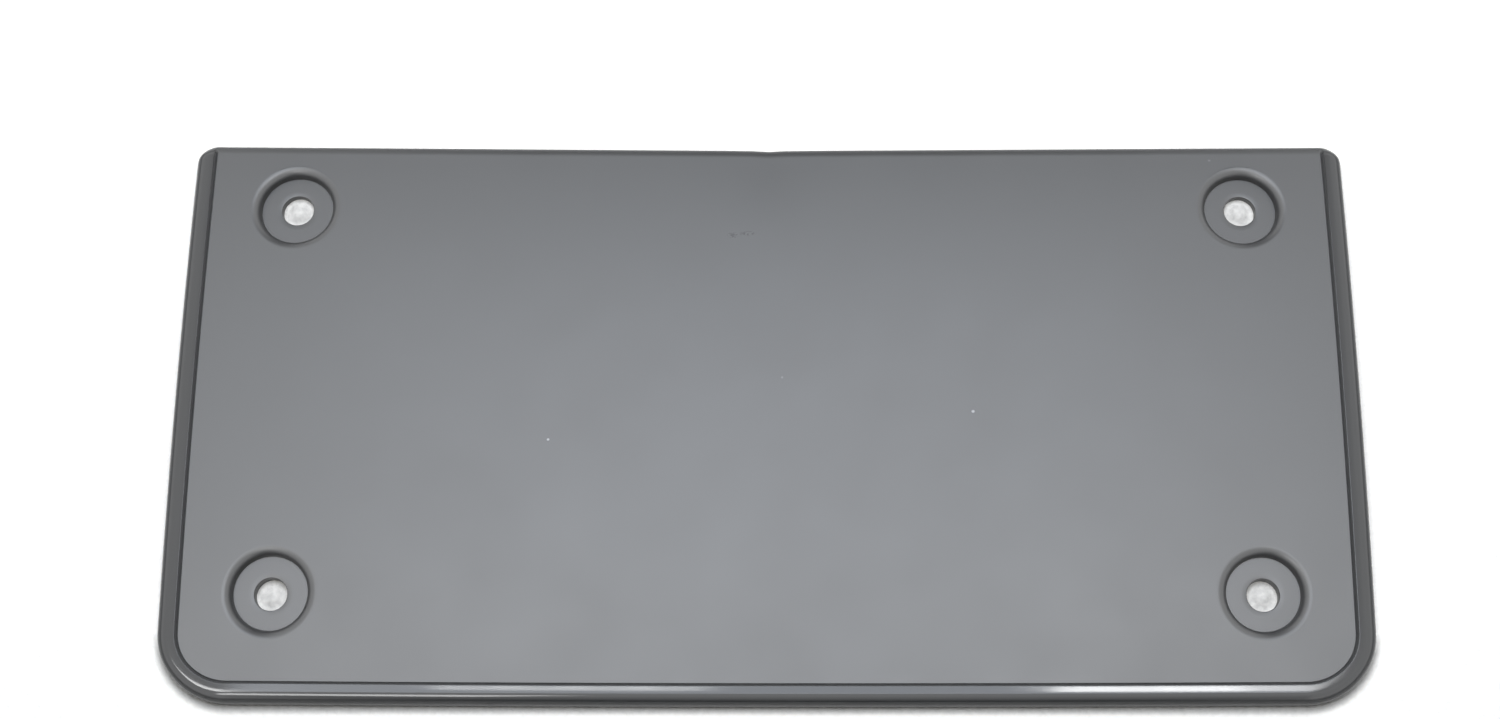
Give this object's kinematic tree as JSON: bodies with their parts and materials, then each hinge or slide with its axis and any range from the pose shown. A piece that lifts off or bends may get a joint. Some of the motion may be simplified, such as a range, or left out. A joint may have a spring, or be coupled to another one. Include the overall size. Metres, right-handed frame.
{
  "type": "number plate holder",
  "caption": "Moulded backing shell with a bowed seat, a raised rim on three sides and dished screw wells, for fixing a number plate to a bumper.",
  "frame": {"origin": "middle of the back plane, on which the holder lies", "axes": "+X across the plate, +Y up the plate towards the edge with no rim, +Z out of the seat"},
  "size_m": [0.3176, 0.1552, 0.0087],
  "materials": {
    "moulded_plastic": "satin fine grain on the seat, smoother rim"
  },
  "bodies": {
    "root": {"plate_holder": "moulded_plastic"}
  },
  "joints": []
}
